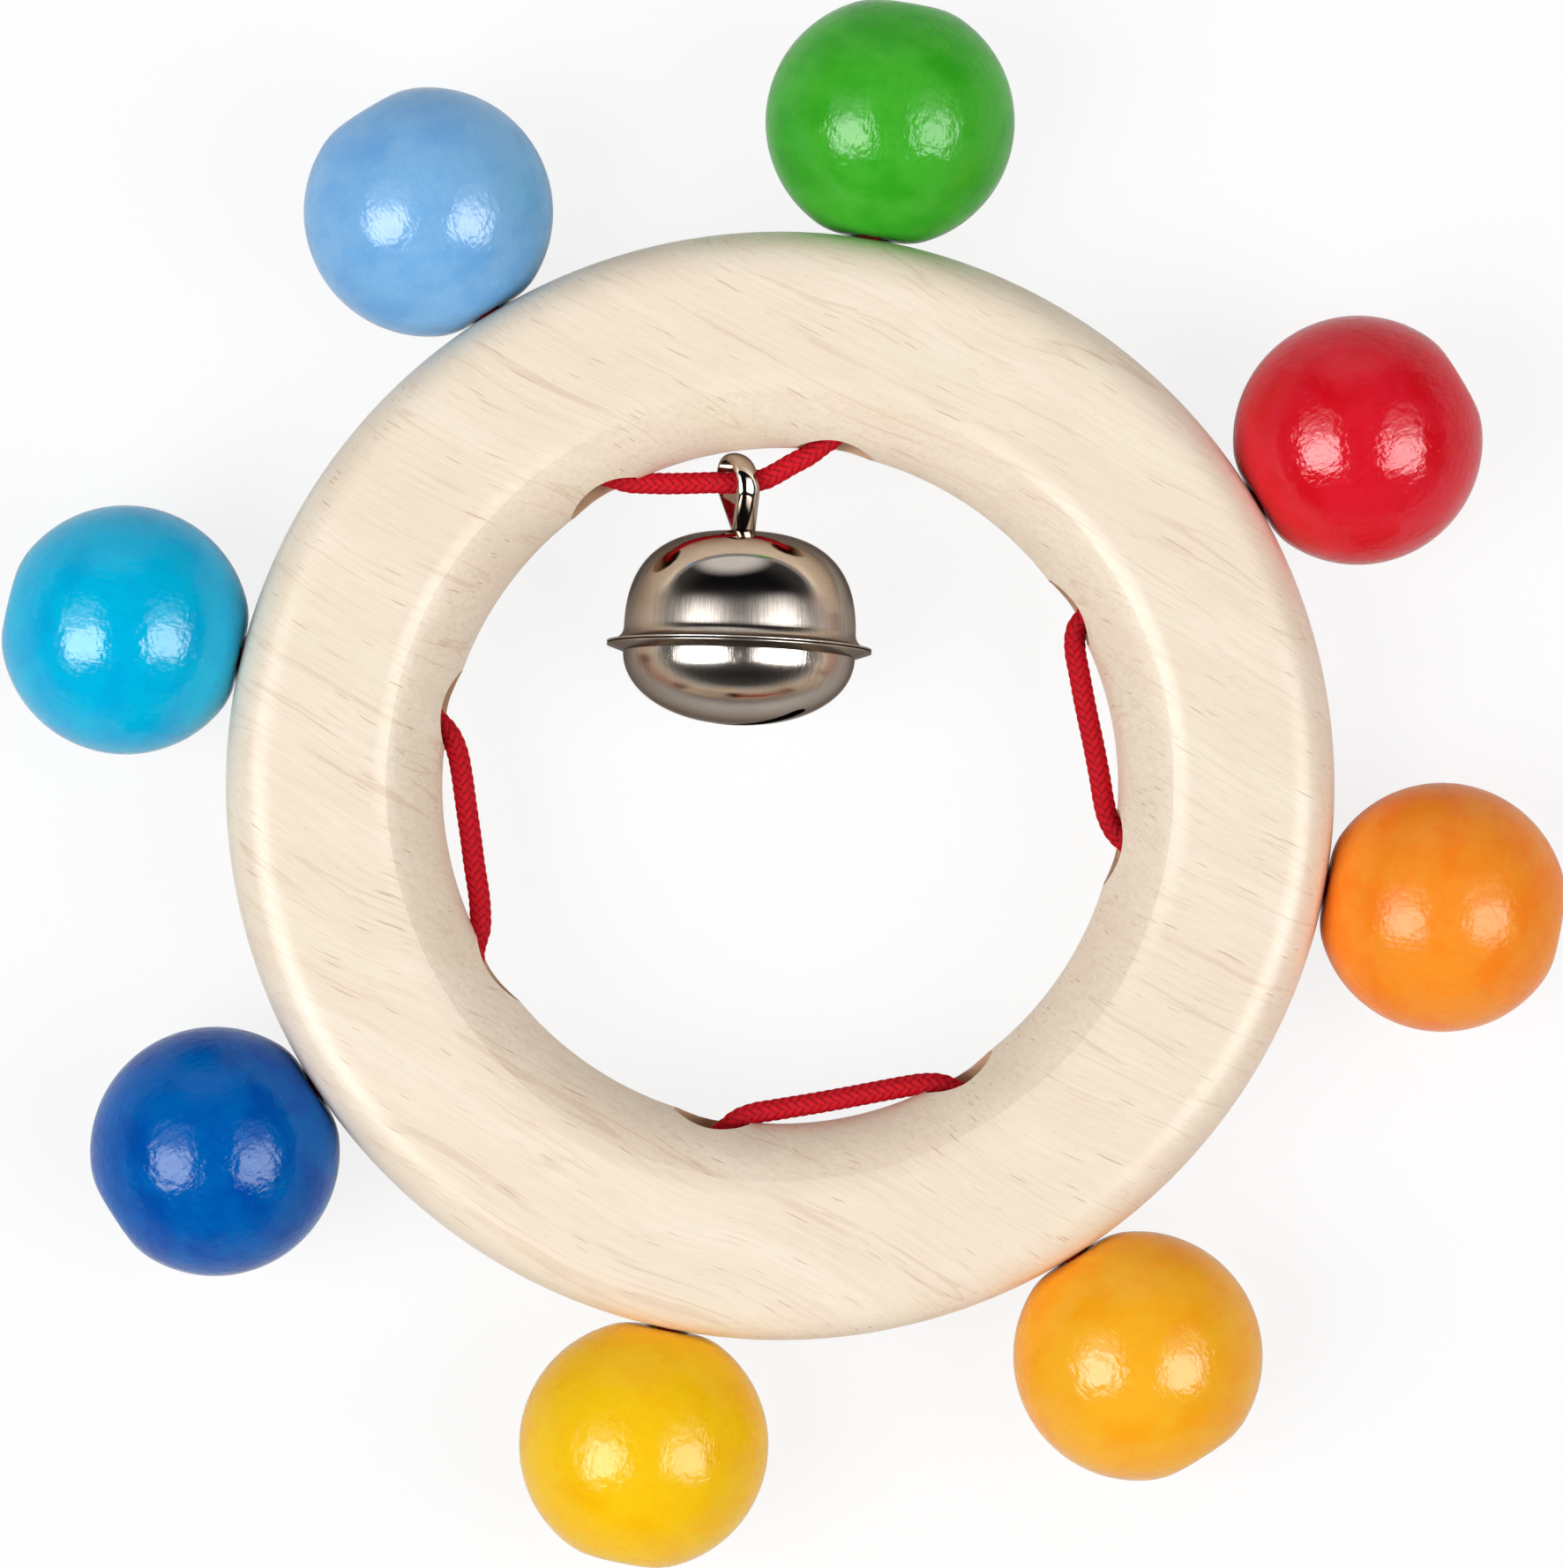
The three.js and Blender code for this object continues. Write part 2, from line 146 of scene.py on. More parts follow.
# Floor and studio
FLOOR_PALE = 0.92
SEEN_WHITE = 0.85  # share of plain white in the floor as the camera sees it; the rest keeps the shadow
MIRRORED_WHITE = 0.5  # the same as gloss shows it, and how much dimmer that white is
MIRRORED_DIMMING = 0.5
ZENITH = (0.007, 0.007, 0.008, 1)
HORIZON = (0.06, 0.06, 0.06, 1)
PALE_WALL = (0.85, 0.85, 0.86, 1)
PALE_WALL_DIRECTION = (-0.1, 0.98, 0.16)

# Camera
CAMERA_DISTANCE = 700
CAMERA_OFFSET = (0.096, 0.134)
FRAME_HEIGHT = 113.25
SENSOR = 36

# Each bead's angle round the ring, its lacquer colour, how rough that lacquer is, how much it shines, and
# how far its cord's hole climbs on the way to the ring's opening.
BEADS = {
    "green": (80.6, (72, 182, 48), 0.1, 0.2, 0.7),
    "red": (30.9, (224, 30, 48), 0.06, 0.28, 0.2),
    "orange": (-10.4, (255, 152, 44), 0.15, 0.15, 0.25),
    "amber": (-57.9, (255, 183, 40), 0.1, 0.22, 0.8),
    "yellow": (-101.7, (255, 203, 22), 0.11, 0.18, 0.7),
    "dark_blue": (-147.1, (0, 98, 182), 0.06, 0.16, 0.05),
    "cyan": (166.6, (0, 188, 232), 0.06, 0.28, 0.3),
    "light_blue": (121.5, (132, 188, 236), 0.06, 0.28, 0.9),
}

# The cords' routes in the ring's opening: angle, and depth inside the inner wall in cord diameters.
BELL_PLACE = (96.6, 1.53)
SPANS = {
    "top": ("light_blue", "green", [
        (119.2, -0.76), (117.7, -0.36), (116.4, -0.05), (113.7, 0.33), (110.9, 0.65), (106.6, 1),
        (102.2, 1.25), (99.9, 1.39), (96.6, 1.42), (93.2, 1.4), (90.4, 1.1), (88.1, 0.75), (85.4, 0.33),
        (84.2, 0.07), (82.9, -0.28), (81.3, -0.71)]),
    "right": ("red", "orange", [
        (28.9, -0.45), (28.3, -0.06), (27.2, 0.26), (24.8, 0.59), (20.6, 0.83), (14.9, 1.01), (7.6, 0.99),
        (1.7, 0.83), (-2.6, 0.64), (-5.2, 0.43), (-7.6, 0.04), (-9, -0.43)]),
    "bottom": ("yellow", "amber", [
        (-98.6, -0.33), (-97.3, 0.04), (-94.8, 0.39), (-90.8, 0.63), (-84.8, 0.82), (-79, 0.87),
        (-73.2, 0.79), (-67.4, 0.55), (-64.6, 0.35), (-62.1, 0.02), (-60.9, -0.29), (-60, -0.64)]),
    "left": ("cyan", "dark_blue", [
        (168.9, -0.6), (170.4, -0.05), (171.7, 0.27), (174.3, 0.63), (178.3, 0.89), (184.1, 1.06),
        (188.5, 1.1), (194.3, 1), (200.1, 0.78), (202.8, 0.57), (205.4, 0.26), (206.8, -0.06),
        (208.2, -0.4)]),
}


# Meshes

def grid_faces(rows, columns, close_rows=False):
    """Faces of a grid of points that closes round its columns, and round its rows if asked."""
    faces = []
    for row in range(rows if close_rows else rows - 1):
        after = (row + 1) % rows
        for column in range(columns):
            beside = (column + 1) % columns
            faces.append((row * columns + column, row * columns + beside,
                          after * columns + beside, after * columns + column))
    return faces


def make_piece(name, points, faces, sharp=35):
    """An object of these points and faces; an edge sharper than that many degrees shows."""
    mesh = bpy.data.meshes.new(name)
    mesh.from_pydata((np.asarray(points, float) * MM).tolist(), [], faces)
    built = bmesh.new()
    built.from_mesh(mesh)
    bmesh.ops.remove_doubles(built, verts=built.verts, dist=1e-8)
    bmesh.ops.recalc_face_normals(built, faces=built.faces)
    built.to_mesh(mesh)
    built.free()
    smooth(mesh, sharp)
    obj = bpy.data.objects.new(name, mesh)
    scene.collection.objects.link(obj)
    return obj


def smooth(mesh, sharp):
    mesh.polygons.foreach_set("use_smooth", [True] * len(mesh.polygons))
    mesh.set_sharp_from_angle(angle=math.radians(sharp))
    mesh.update()


def lathe(profile, segments, close=False):
    """Points and faces of a profile of (radius, height) turned about Y."""
    profile = np.asarray(profile, float)
    angle = np.linspace(0, TURN, segments, endpoint=False)
    radius, height = profile[:, :1], profile[:, 1:]
    points = np.stack([radius * np.cos(angle), height + 0 * angle, radius * np.sin(angle)], -1)
    return points.reshape(-1, 3), grid_faces(len(profile), segments, close)


def rounded(before, corner, after, steps):
    """A corner rounded off between two points."""
    share = np.linspace(0, 1, steps + 1)[:, None]
    before, corner, after = (np.asarray(p, float) for p in (before, corner, after))
    return (1 - share) ** 2 * before + 2 * share * (1 - share) * corner + share**2 * after


def cut(obj, cutter, sharp=35):
    """Takes the cutter's volume out of obj and removes the cutter."""
    modifier = obj.modifiers.new("cut", "BOOLEAN")
    modifier.operation = "DIFFERENCE"
    modifier.solver = "EXACT"
    if cutter.data.materials:
        modifier.material_mode = "TRANSFER"
    modifier.object = cutter
    left = bpy.data.meshes.new_from_object(obj.evaluated_get(bpy.context.evaluated_depsgraph_get()))
    obj.modifiers.clear()
    obj.data = left
    bpy.data.objects.remove(cutter)
    smooth(left, sharp)


def polar(degrees, radius):
    """A point at the ring's mid-height."""
    angle = math.radians(degrees)
    return np.array([radius * math.cos(angle), radius * math.sin(angle), MID_HEIGHT])


def station(degrees, radius=0):
    """Places a piece made along +Y so that it points outwards at an angle round the ring."""
    return (Matrix.Translation(Vector(polar(degrees, radius)) * MM)
            @ Matrix.Rotation(math.radians(degrees) - math.pi / 2, 4, "Z"))


# Materials

def srgb(red, green, blue):
    """A colour as it shows on screen, from 0 to 255, as a shader's linear colour."""
    def linear(value):
        value /= 255
        return value / 12.92 if value <= 0.04045 else ((value + 0.055) / 1.055) ** 2.4
    return (linear(red), linear(green), linear(blue), 1)


def node(tree, kind, inputs=None, **settings):
    made = tree.nodes.new("ShaderNode" + kind)
    for key, value in settings.items():
        setattr(made, key, value)
    for key, value in (inputs or {}).items():
        if isinstance(value, bpy.types.NodeSocket):
            tree.links.new(value, made.inputs[key])
        else:
            made.inputs[key].default_value = value
    return made


def new_material(name):
    material = bpy.data.materials.new(name)
    material.use_nodes = True
    tree = material.node_tree
    return material, tree, tree.nodes["Principled BSDF"]


def millimetres(tree):
    """The piece's own coordinates in millimetres."""
    place = node(tree, "TexCoord").outputs["Object"]
    return node(tree, "VectorMath", {0: place, "Scale": 1 / MM}, operation="SCALE").outputs[0]


def stretched(tree, vector, scale, turn=(0, 0, 0)):
    return node(tree, "Mapping", {"Vector": vector, "Scale": scale, "Rotation": turn}).outputs[0]


def noise(tree, vector, scale=1.0, detail=2.0, roughness=0.5):
    inputs = {"Vector": vector, "Scale": scale, "Detail": detail, "Roughness": roughness}
    return node(tree, "TexNoise", inputs).outputs[0]


def ramp(tree, value, low, high, to_low=0.0, to_high=1.0):
    inputs = {"Value": value, "From Min": low, "From Max": high, "To Min": to_low, "To Max": to_high}
    return node(tree, "MapRange", inputs, interpolation_type="SMOOTHSTEP").outputs[0]


def math_node(tree, operation, first, second=0.0, third=0.0):
    return node(tree, "Math", {0: first, 1: second, 2: third}, operation=operation).outputs[0]


def blend_colour(tree, share, first, second, kind="MIX"):
    made = node(tree, "Mix", {"Factor": share, 6: first, 7: second}, data_type="RGBA", blend_type=kind)
    return made.outputs[2]


def bump(tree, height, distance, normal=None, strength=1.0):
    inputs = {"Height": height, "Distance": distance * MM, "Strength": strength}
    if normal is not None:
        inputs["Normal"] = normal
    return node(tree, "Bump", inputs).outputs[0]


def strokes(tree, along, size, kept):
    """Short dark strokes along the grain: about one in each cell of that size, and only some of them."""
    cells = stretched(tree, along, tuple(1 / side for side in size))
    found = node(tree, "TexVoronoi", {"Vector": cells, "Scale": 1.0})
    near = ramp(tree, found.outputs["Distance"], 0.17, 0.09)
    chance = node(tree, "SeparateColor", {0: found.outputs["Color"]}).outputs[0]
    return math_node(tree, "MULTIPLY", near, ramp(tree, chance, 1 - kept, 1.0))


def wood(name, light, dark, inside=False):
    """Sanded beech: fibres, growth lines and short marks along one way, and a coarser inner wall; with inside
    set, the colour is darker and browner for the cord holes, partly end grain and partly painted shade.
    """
    material, tree, shader = new_material(name)
    place = millimetres(tree)
    wander = node(tree, "TexNoise", {"Vector": place, "Scale": 0.045, "Detail": 1.0})
    shifted = node(tree, "VectorMath", {0: wander.outputs[1], 1: (5.0, 5.0, 2.0), 2: place},
                   operation="MULTIPLY_ADD").outputs[0]
    along = stretched(tree, shifted, (1, 1, 1), (0, 0, math.radians(29)))
    ripple = node(tree, "TexNoise", {"Vector": along, "Scale": 0.4, "Detail": 1.0})
    rippled = node(tree, "VectorMath", {0: ripple.outputs[1], 1: (0.0, 0.3, 0.0), 2: along},
                   operation="MULTIPLY_ADD").outputs[0]
    fibre = noise(tree, stretched(tree, rippled, (0.16, 3.8, 1.5)), detail=4, roughness=0.7)
    mottle = noise(tree, stretched(tree, along, (0.12, 0.5, 0.3)), detail=4, roughness=0.6)
    tint = noise(tree, stretched(tree, along, (0.06, 0.22, 0.15)), detail=3)
    band = noise(tree, stretched(tree, along, (0.012, 0.2, 0.05)), detail=3)
    growth = noise(tree, stretched(tree, rippled, (0.014, 0.42, 0.06)), detail=1)
    turned = noise(tree, stretched(tree, place, (0.05, 0.05, 4.5)), detail=2)
    stipple = noise(tree, place, scale=2.4, detail=3, roughness=0.7)
    short = strokes(tree, rippled, (5.0, 0.36, 2.2), 0.85)
    long = strokes(tree, rippled, (9.0, 0.45, 2.5), 0.8)
    pores = math_node(tree, "MULTIPLY", strokes(tree, rippled, (1.8, 0.3, 1.0), 0.8), 0.4)
    marks = math_node(tree, "MAXIMUM", math_node(tree, "MAXIMUM", short, long), pores)
    middle = math_node(tree, "ABSOLUTE", math_node(tree, "SUBTRACT", growth, 0.5))
    lines = math_node(tree, "MULTIPLY", ramp(tree, middle, 0.012, 0.003), ramp(tree, mottle, 0.35, 0.6))
    flat = node(tree, "VectorMath", {0: place, 1: (1, 1, 0)}, operation="MULTIPLY").outputs[0]
    reach = node(tree, "VectorMath", {0: flat}, operation="LENGTH").outputs[1]
    sawn = math_node(tree, "MULTIPLY", ramp(tree, reach, 28.6, 28.2),
                     ramp(tree, stipple, 0.42, 0.75, 0.0, 0.4))
    colour = blend_colour(tree, ramp(tree, band, 0.3, 0.7), light, dark)
    colour = blend_colour(tree, ramp(tree, mottle, 0.4, 0.7, 0.0, 0.5), colour, srgb(243, 223, 203))
    colour = blend_colour(tree, ramp(tree, tint, 0.45, 0.7, 0.0, 0.5), colour, srgb(244, 231, 206))
    colour = blend_colour(tree, ramp(tree, fibre, 0.42, 0.72, 0.0, 0.34), colour, srgb(226, 202, 174))
    colour = blend_colour(tree, sawn, colour, srgb(226, 204, 180))
    colour = blend_colour(tree, math_node(tree, "MULTIPLY", lines, 0.3), colour, srgb(208, 174, 142))
    colour = blend_colour(tree, math_node(tree, "MULTIPLY", marks, 0.55), colour, srgb(192, 146, 110))
    # Cord holes: a brown multiply that is partly the end grain and partly painted shade of the recess.
    if inside:
        colour = blend_colour(tree, 0.6, colour, srgb(216, 182, 150), "MULTIPLY")
    tree.links.new(colour, shader.inputs["Base Color"])
    grain = math_node(tree, "SUBTRACT", fibre, math_node(tree, "MULTIPLY", marks, 0.8))
    tree.links.new(ramp(tree, fibre, 0.3, 0.7, 0.28, 0.36), shader.inputs["Roughness"])
    shader.inputs["Specular IOR Level"].default_value = 0.14
    normal = bump(tree, turned, 0.02)
    tree.links.new(bump(tree, grain, 0.012, normal), shader.inputs["Normal"])
    return material


def lacquer(name, colour, gloss, shine):
    """Lacquer on a bead turned about Y: the wood's grain and pores show through it."""
    material, tree, shader = new_material(name)
    place = millimetres(tree)
    rings = noise(tree, stretched(tree, place, (0.04, 2.6, 0.04)), detail=3)
    peel = noise(tree, place, scale=0.8, detail=2, roughness=0.6)
    cloud = noise(tree, stretched(tree, place, (0.2, 0.3, 0.2)), detail=4, roughness=0.6)
    grain = noise(tree, stretched(tree, place, (2.4, 0.3, 2.4)), detail=3, roughness=0.65)
    pitted = noise(tree, stretched(tree, place, (2.4, 1.3, 2.4)), detail=3, roughness=0.6)
    deep = tuple(part**1.22 for part in colour[:3]) + (1,)
    shade = blend_colour(tree, ramp(tree, cloud, 0.42, 0.66), colour, deep)
    shade = blend_colour(tree, ramp(tree, grain, 0.45, 0.8, 0.0, 0.5), shade, deep)
    tree.links.new(shade, shader.inputs["Base Color"])
    tree.links.new(ramp(tree, cloud, 0.3, 0.7, gloss, gloss + 0.05), shader.inputs["Roughness"])
    shader.inputs["Specular IOR Level"].default_value = shine
    normal = bump(tree, rings, 0.014)
    normal = bump(tree, peel, 0.08, normal)
    tree.links.new(bump(tree, pitted, 0.05, normal), shader.inputs["Normal"])
    return material


def braided(name):
    """Red braided yarn, with painted shade: where the piece's height attribute is low, between the strands,
    the red is painted nearly black.
    """
    material, tree, shader = new_material(name)
    height = node(tree, "Attribute", attribute_name="height").outputs["Fac"]
    place = millimetres(tree)
    lint = noise(tree, place, scale=9, detail=3, roughness=0.7)
    # Painted shade: the red darkens towards near black where the braid is low, in the gaps between strands.
    colour = blend_colour(tree, ramp(tree, height, 0.35, 0.95), srgb(74, 1, 8), srgb(212, 14, 34))
    colour = blend_colour(tree, ramp(tree, lint, 0.5, 0.85, 0.0, 0.35), colour, srgb(226, 40, 56))
    tree.links.new(colour, shader.inputs["Base Color"])
    tree.links.new(ramp(tree, lint, 0.3, 0.7, 0.65, 0.85), shader.inputs["Roughness"])
    shader.inputs["Specular IOR Level"].default_value = 0.08
    tree.links.new(bump(tree, lint, 0.05), shader.inputs["Normal"])
    return material


def plated(name, colour, rough, wear, streak, smear):
    """Drawn and plated sheet, worn by the flange, with fine streaks up it and gloss smeared round Y."""
    material, tree, shader = new_material(name)
    place = node(tree, "SeparateXYZ", {0: millimetres(tree)})
    angle = math_node(tree, "ARCTAN2", place.outputs[0], place.outputs[2])
    line = node(tree, "CombineXYZ", {0: math_node(tree, "MULTIPLY", angle, 110.0),
                                     1: math_node(tree, "MULTIPLY", place.outputs[1], 0.25)}).outputs[0]
    streaks = noise(tree, line, detail=3, roughness=0.7)
    rubbed = ramp(tree, math_node(tree, "ABSOLUTE", place.outputs[1]), 4.6, 2.6, 0.12, 1.0)
    tarnish = noise(tree, millimetres(tree), scale=0.35, detail=3)
    dull, dark = (tuple(share * part for part in colour[:3]) + (1,) for share in (0.86, 0.6))
    scored = math_node(tree, "MULTIPLY", ramp(tree, streaks, 0.4, 0.7, 0.0, 0.6), rubbed)
    shade = blend_colour(tree, ramp(tree, tarnish, 0.35, 0.75, 0.0, 0.5), colour, dull)
    shade = blend_colour(tree, scored, shade, dark)
    tree.links.new(shade, shader.inputs["Base Color"])
    shader.inputs["Metallic"].default_value = 1.0
    shader.inputs["Specular Tint"].default_value = (0.24, 0.2, 0.18, 1)
    shader.inputs["Anisotropic"].default_value = smear
    around = node(tree, "Tangent", direction_type="RADIAL", axis="Y").outputs[0]
    tree.links.new(around, shader.inputs["Tangent"])
    worn = math_node(tree, "MULTIPLY", rubbed, wear)
    tree.links.new(math_node(tree, "ADD", worn, rough), shader.inputs["Roughness"])
    tree.links.new(bump(tree, streaks, streak, strength=rubbed), shader.inputs["Normal"])
    return material


def finish_piece(obj, material, body, stands_for):
    """Gives a piece its material, and its body if it has one, and hides the part it stands for; one that
    already has a material keeps it.
    """
    if not obj.data.materials:
        obj.data.materials.append(material)
    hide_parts(stands_for)
    if body:
        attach(obj, body)


# Ring

def inner_wall():
    """The wall from mid-height up to its crease, and the ridge that leans over on to the flat face."""
    tilt = np.radians(RING_RIDGE_TILTS)
    steps = RING_RIDGE_STEP * np.stack([np.cos(tilt), np.sin(tilt)], -1)
    arc = (RING_INNER_SLOPE**2 + RING_HALF_HEIGHT**2) / (2 * RING_INNER_SLOPE)
    top = math.asin((RING_HALF_HEIGHT - steps[:, 1].sum()) / arc)
    rise = np.linspace(0, top, RING_WALL_STEPS + 1)
    wall = np.stack([RING_INNER_RADIUS + arc * (1 - np.cos(rise)), arc * np.sin(rise)], -1)
    return np.concatenate([wall, wall[-1] + np.cumsum(steps, 0)])


def outer_wall():
    """The edge from the flat face round to the bulging outer wall, down to mid-height."""
    arc = (RING_OUTER_SLOPE**2 + RING_HALF_HEIGHT**2) / (2 * RING_OUTER_SLOPE)
    full = math.asin(RING_HALF_HEIGHT / arc)

    def on_arc(angle):
        return np.array([RING_OUTER_RADIUS - arc * (1 - math.cos(angle)), arc * math.sin(angle)])

    last = full - RING_OUTER_EDGE / arc
    corner = on_arc(full)
    edge = rounded(corner - (RING_OUTER_EDGE, 0), corner, on_arc(last), 16)
    wall = [on_arc(last * step / RING_WALL_STEPS) for step in range(RING_WALL_STEPS - 1, -1, -1)]
    return np.concatenate([edge, wall])


def ring_profile():
    """The ring's whole section, as (radius, height from mid-height)."""
    inner, outer = inner_wall(), outer_wall()
    face = np.linspace(inner[-1], outer[0], 14)[1:-1]
    top = np.concatenate([inner, face, outer])
    bottom = top[1:-1][::-1] * (1, -1)
    return np.concatenate([top, bottom])


def sanded(points):
    """Lets the crease of the inner wall wander a little, as sanding by hand leaves it."""
    radius, angle = np.hypot(points[:, 0], points[:, 2]), np.arctan2(points[:, 2], points[:, 0])
    height = points[:, 1]
    crease = ring_profile()[RING_WALL_STEPS, 0]
    near = np.exp(-(((radius - crease) / CREASE_WIDTH) ** 2))
    near = near * (np.abs(height) > CREASE_HEIGHT) * np.sign(height)
    wander = sum(np.sin(k * angle + 2.3 * k) / k**0.6 for k in (2, 3, 5, 8, 13, 21))
    share = 1 + CREASE_WANDER * near * wander / radius
    return points * np.stack([share, np.ones(len(points)), share], -1)


def drill(degrees, climb, seed):
    """The cord hole's drill, which climbs a little towards the opening and tears its mouth there."""
    profile = [(0, RING_INNER_RADIUS - 2), (MOUTH_RADIUS, RING_INNER_RADIUS - 2)]
    profile += list(rounded((MOUTH_RADIUS, RING_INNER_RADIUS), (HOLE_RADIUS, RING_INNER_RADIUS + 0.1),
                            (HOLE_RADIUS, RING_INNER_RADIUS + MOUTH_DEPTH), 10))
    profile += [(HOLE_RADIUS, HOLE_NARROWS[0]), (BORE_RADIUS, HOLE_NARROWS[1]),
                (BORE_RADIUS, RING_OUTER_RADIUS + 2), (0, RING_OUTER_RADIUS + 2)]
    points, faces = lathe(profile, 96)
    angle = np.arctan2(points[:, 2], points[:, 0])
    torn = sum(np.sin(k * angle + seed * (k + 1.7)) / k**0.7 for k in (3, 5, 9, 14, 23))
    depth = np.clip((RING_INNER_RADIUS + TEAR_DEPTH - points[:, 1]) / TEAR_DEPTH, 0, 1)
    swell = 1 + TEAR * torn * depth
    points[:, 0] *= swell
    points[:, 2] *= swell
    points[:, 2] += climb * np.clip((CLIMB_START - points[:, 1]) / (CLIMB_START - RING_INNER_RADIUS), 0, 1)
    turn = np.array(Matrix.Rotation(math.radians(degrees) - math.pi / 2, 3, "Z"))
    return points @ turn.T, faces


def make_ring():
    points, faces = lathe(ring_profile(), RING_SEGMENTS, close=True)
    points = sanded(points)
    points = np.stack([points[:, 0], points[:, 2], points[:, 1] + MID_HEIGHT], -1)
    ring = make_piece("ring_wood", points, faces, sharp=RING_SHARP)
    ring.data.materials.append(wood("beech", srgb(250, 236, 216), srgb(246, 229, 207)))
    all_points, all_faces, count = [], [], 0
    for seed, (degrees, *_, climb) in enumerate(BEADS.values()):
        hole_points, hole_faces = drill(degrees, climb, seed)
        all_points.append(hole_points + (0, 0, MID_HEIGHT))
        all_faces += [tuple(count + corner for corner in face) for face in hole_faces]
        count += len(hole_points)
    cutter = make_piece("drills", np.concatenate(all_points), all_faces)
    # The holes' wood is darker and browner: partly end grain, partly painted shade inside the holes.
    drilled = wood("beech_hole_grain_and_shade", srgb(232, 208, 180), srgb(222, 196, 166), inside=True)
    cutter.data.materials.append(drilled)
    cut(ring, cutter, sharp=RING_SHARP)
    finish_piece(ring, None, "ring", "ring")


# Beads

def bead_profile():
    """A ball with soft flats, its bore, and the counterbore for the knot at its outer end."""
    end = math.asin(BEAD_HALF_LENGTH / BEAD_RADIUS) - BEAD_SOFTENING
    ball = [(BEAD_RADIUS * math.cos(a), BEAD_RADIUS * math.sin(a)) for a in np.linspace(-end, end, 72)]
    rim = (BEAD_FLAT_RADIUS, BEAD_HALF_LENGTH)
    seat = BEAD_HALF_LENGTH - COUNTERBORE_DEPTH
    outer = np.concatenate([
        rounded(ball[-1], rim, (rim[0] - 0.35, rim[1]), 6),
        rounded((COUNTERBORE_RADIUS + BEAD_LIP * 0.6, rim[1]), (COUNTERBORE_RADIUS, rim[1]),
                (COUNTERBORE_RADIUS, rim[1] - BEAD_LIP), 4)])
    inner = np.concatenate([
        rounded((BORE_RADIUS, -rim[1] + BEAD_LIP), (BORE_RADIUS, -rim[1]),
                (BORE_RADIUS + BEAD_LIP, -rim[1]), 4),
        rounded((rim[0] - 0.8, -rim[1]), (rim[0], -rim[1]), ball[0], 6)])
    return np.concatenate([inner, ball[1:-1], outer, [[COUNTERBORE_RADIUS, seat], [BORE_RADIUS, seat]]])


def make_bead(name):
    degrees, colour, gloss, shine, _ = BEADS[name]
    bead = make_piece("bead_" + name + "_lacquered", *lathe(bead_profile(), 112, close=True))
    bead.matrix_world = station(degrees, BEAD_CENTRE_RADIUS)
    material = lacquer("lacquer_" + name, srgb(*colour), gloss, shine)
    finish_piece(bead, material, name + "_bead", "bead_" + name)


# Cords

def braid_height(angle, along):
    """0 to 1 over a two-over-two-under braid, for angles round the cord and lengths along it."""
    right = BRAID_CARRIERS * (angle / TURN + along / BRAID_LEAD)
    left = BRAID_CARRIERS * (angle / TURN - along / BRAID_LEAD)
    heights = []
    for own, other, start in ((right, left, 1), (left, right, 3)):
        strand = np.floor(own)
        across = 2 * (own - strand) - 1
        crown = np.sqrt(np.clip(1 - across**2, 0, 1))
        wave = np.cos(TURN * (other + strand - start) / 4)
        heights.append(0.55 * crown + 0.225 * (wave + 1))
    return np.maximum(*heights)


def curve_through(points, spacing):
    """A centripetal Catmull-Rom curve through the points, in even steps."""
    points = np.asarray(points, float)
    ends = np.concatenate([[2 * points[0] - points[1]], points, [2 * points[-1] - points[-2]]])
    fine = []
    for p0, p1, p2, p3 in zip(ends, ends[1:], ends[2:], ends[3:]):
        d0, d1, d2 = (np.linalg.norm(b - a) ** 0.5 for a, b in ((p0, p1), (p1, p2), (p2, p3)))
        t1 = ((p1 - p0) / d0 - (p2 - p0) / (d0 + d1) + (p2 - p1) / d1) * d1
        t2 = ((p2 - p1) / d1 - (p3 - p1) / (d1 + d2) + (p3 - p2) / d2) * d1
        u = np.linspace(0, 1, 24, endpoint=False)[:, None]
        square, cube = 3 * (p2 - p1) - 2 * t1 - t2, 2 * (p1 - p2) + t1 + t2
        fine.append(p1 + t1 * u + square * u**2 + cube * u**3)
    return even_steps(np.concatenate(fine + [points[-1:]]), spacing)


def even_steps(points, spacing):
    """The same path with its points evenly spaced."""
    length = np.concatenate([[0], np.cumsum(np.linalg.norm(np.diff(points, axis=0), axis=1))])
    places = np.linspace(0, length[-1], max(2, round(length[-1] / spacing)) + 1)
    return np.stack([np.interp(places, length, points[:, axis]) for axis in range(3)], -1)


def braid_tube(path, radius, around, up, closed=False):
    """Points, faces and braid heights of a cord along a path; up is a direction it never follows."""
    if closed:
        tangent = np.roll(path, -1, 0) - np.roll(path, 1, 0)
    else:
        tangent = np.gradient(path, axis=0)
    tangent /= np.linalg.norm(tangent, axis=1, keepdims=True)
    side = np.cross(np.asarray(up, float), tangent)
    side /= np.linalg.norm(side, axis=1, keepdims=True)
    over = np.cross(tangent, side)
    angle = np.linspace(0, TURN, around, endpoint=False)
    along = np.concatenate([[0], np.cumsum(np.linalg.norm(np.diff(path, axis=0), axis=1))])
    height = braid_height(angle[None, :], along[:, None])
    reach = (radius * (1 - BRAID_RELIEF + BRAID_RELIEF * height))[..., None]
    across, upward = np.cos(angle)[None, :, None], np.sin(angle)[None, :, None]
    circle = across * side[:, None] + upward * over[:, None]
    points = (path[:, None] + reach * circle).reshape(-1, 3)
    faces = grid_faces(len(path), around, closed)
    if not closed:
        faces += [tuple(range(around)), tuple(range(len(points) - around, len(points)))]
    return points, faces, height.ravel()


